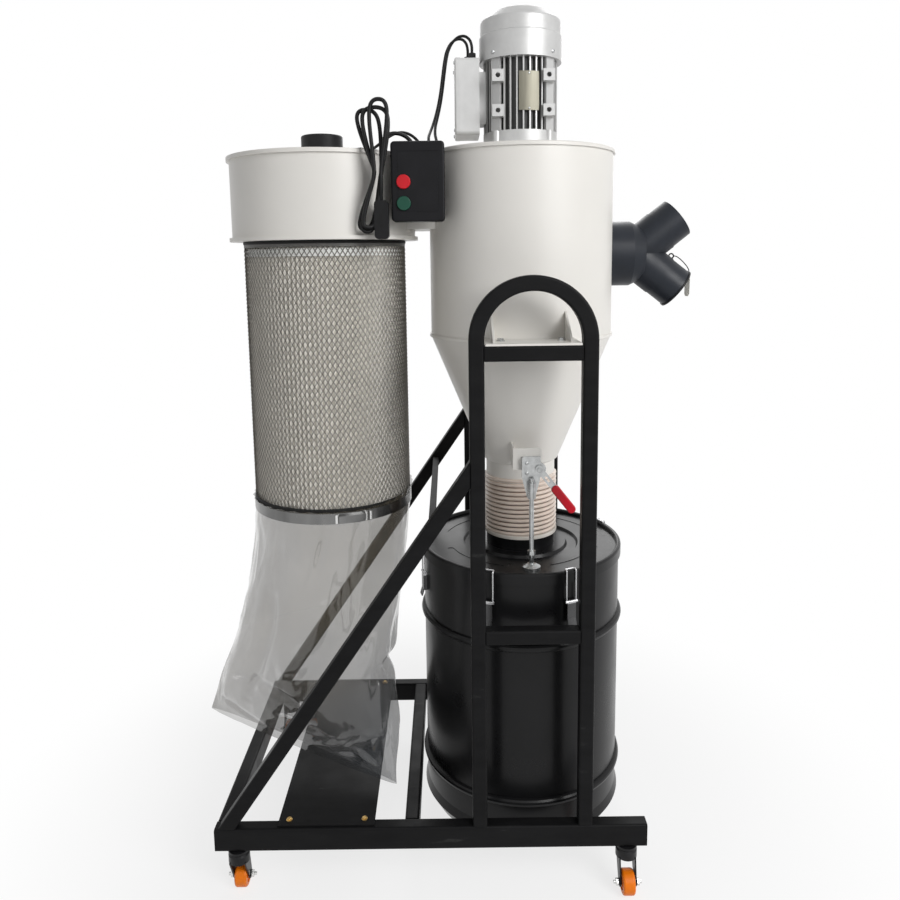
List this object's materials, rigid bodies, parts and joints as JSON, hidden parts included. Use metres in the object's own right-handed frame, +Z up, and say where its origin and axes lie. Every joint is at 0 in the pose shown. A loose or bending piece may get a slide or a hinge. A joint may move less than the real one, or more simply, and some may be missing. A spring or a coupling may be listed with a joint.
{
  "type": "mobile cyclone dust collector",
  "caption": "Wheeled cyclone dust collector: motor-topped cyclone with wye inlet over a latched drum, pleated filter with clear bag, steel tube frame on swivel casters.",
  "frame": {"origin": "on the floor, below the middle of the whole length and depth", "axes": "+Z up, +X along the base from the filter to the inlet, +Y from front to back"},
  "size_m": [1.1644, 0.64, 1.834],
  "materials": {
    "frame_black": "black powder coat, satin",
    "tie_steel": "dark grey paint",
    "drum_black": "black gloss paint",
    "cream_paint": "warm white powder coat",
    "zinc_steel": "zinc plated",
    "motor_silver": "silver painted casting",
    "black_plastic": "moulded",
    "switch_black": "moulded, fine grain",
    "inlet_plastic": "moulded, satin",
    "clear_hose": "clear, wire reinforced",
    "clear_film": "thin clear film",
    "filter_media": "pleated media behind metal mesh",
    "button_red": "moulded",
    "button_green": "moulded",
    "grip_red": "dipped vinyl",
    "cord_black": "rubber sheathed",
    "caster_black": "black stamped steel",
    "wheel_orange": "polyurethane tread"
  },
  "bodies": {
    "frame": {"base_front_beam": "frame_black", "base_rear_beam": "frame_black", "base_left_beam": "frame_black", "base_middle_beam": "frame_black", "base_plate": "frame_black", "front_hoop": "frame_black", "rear_hoop": "frame_black", "front_crossbars": "frame_black", "rear_crossbars": "frame_black", "front_diagonal": "frame_black", "rear_diagonal": "frame_black", "diagonal_tie_bar": "tie_steel", "caster_stems": "zinc_steel", "drum_body": "drum_black", "drum_lid": "drum_black", "drum_latches": "zinc_steel", "drum_glides": "black_plastic", "transfer_hose": "clear_hose", "cyclone_cone": "cream_paint", "cyclone_barrel": "cream_paint", "cyclone_top_plate": "cream_paint", "cyclone_brackets": "cream_paint", "inlet_wye": "inlet_plastic", "inlet_cap": "inlet_plastic", "outlet_duct": "cream_paint", "filter_can": "cream_paint", "filter_knob": "black_plastic", "filter_cartridge": "filter_media", "filter_pleats": "filter_media", "bag_clamp": "zinc_steel", "dust_bag": "clear_film", "motor_flange": "motor_silver", "motor_body": "motor_silver", "motor_cowl": "motor_silver", "terminal_box": "motor_silver", "switch_box": "switch_black", "clamp_bracket": "cream_paint", "clamp_body": "zinc_steel", "cable_glands": "black_plastic", "mains_cord": "cord_black", "cord_hank": "cord_black", "mains_plug": "cord_black", "control_lead": "cord_black", "lead_connector": "black_plastic", "motor_leads": "cord_black"},
    "stop_button": {"stop_button": "button_red"},
    "start_button": {"start_button": "button_green"},
    "clamp_handle": {"clamp_handle": "zinc_steel", "clamp_grip": "grip_red"},
    "clamp_plunger": {"clamp_plunger": "zinc_steel"},
    "caster_fork_front_left": {"caster_fork_front_left": "caster_black"},
    "caster_wheel_front_left": {"caster_wheel_front_left": "wheel_orange"},
    "caster_fork_front_right": {"caster_fork_front_right": "caster_black"},
    "caster_wheel_front_right": {"caster_wheel_front_right": "wheel_orange"},
    "caster_fork_rear_left": {"caster_fork_rear_left": "caster_black"},
    "caster_wheel_rear_left": {"caster_wheel_rear_left": "wheel_orange"},
    "caster_fork_rear_right": {"caster_fork_rear_right": "caster_black"},
    "caster_wheel_rear_right": {"caster_wheel_rear_right": "wheel_orange"}
  },
  "joints": [
    {"name": "swivel_front_left", "type": "hinge", "parent": "frame", "child": "caster_fork_front_left", "pos_m": [-0.447, -0.277, 0.09], "axis": [0, 0, 1], "continuous": true},
    {"name": "roll_front_left", "type": "hinge", "parent": "caster_fork_front_left", "child": "caster_wheel_front_left", "pos_m": [-0.447, -0.259, 0.025], "axis": [1, 0, 0], "continuous": true},
    {"name": "swivel_front_right", "type": "hinge", "parent": "frame", "child": "caster_fork_front_right", "pos_m": [0.365, -0.277, 0.09], "axis": [0, 0, 1], "continuous": true},
    {"name": "roll_front_right", "type": "hinge", "parent": "caster_fork_front_right", "child": "caster_wheel_front_right", "pos_m": [0.365, -0.295, 0.025], "axis": [1, 0, 0], "continuous": true},
    {"name": "swivel_rear_left", "type": "hinge", "parent": "frame", "child": "caster_fork_rear_left", "pos_m": [-0.447, 0.277, 0.09], "axis": [0, 0, 1], "continuous": true},
    {"name": "roll_rear_left", "type": "hinge", "parent": "caster_fork_rear_left", "child": "caster_wheel_rear_left", "pos_m": [-0.447, 0.259, 0.025], "axis": [1, 0, 0], "continuous": true},
    {"name": "swivel_rear_right", "type": "hinge", "parent": "frame", "child": "caster_fork_rear_right", "pos_m": [0.365, 0.277, 0.09], "axis": [0, 0, 1], "continuous": true},
    {"name": "roll_rear_right", "type": "hinge", "parent": "caster_fork_rear_right", "child": "caster_wheel_rear_right", "pos_m": [0.365, 0.295, 0.025], "axis": [1, 0, 0], "continuous": true},
    {"name": "clamp_handle_pivot", "type": "hinge", "parent": "frame", "child": "clamp_handle", "pos_m": [0.193, -0.17, 0.878], "axis": [0, -1, 0], "range_deg": [0, 110]},
    {"name": "clamp_plunger_slide", "type": "slide", "parent": "frame", "child": "clamp_plunger", "axis": [0, 0, 1], "range_m": [0, 0.03636]},
    {"name": "stop_press", "type": "slide", "parent": "frame", "child": "stop_button", "axis": [0, 1, 0], "range_m": [0, 0.004], "stiffness_N_per_m": 400},
    {"name": "start_press", "type": "slide", "parent": "frame", "child": "start_button", "axis": [0, 1, 0], "range_m": [0, 0.004], "stiffness_N_per_m": 400}
  ],
  "couplings": [
    {"joint": "clamp_plunger_slide", "follows": "clamp_handle_pivot", "m_per_rad": 0.018751}
  ]
}
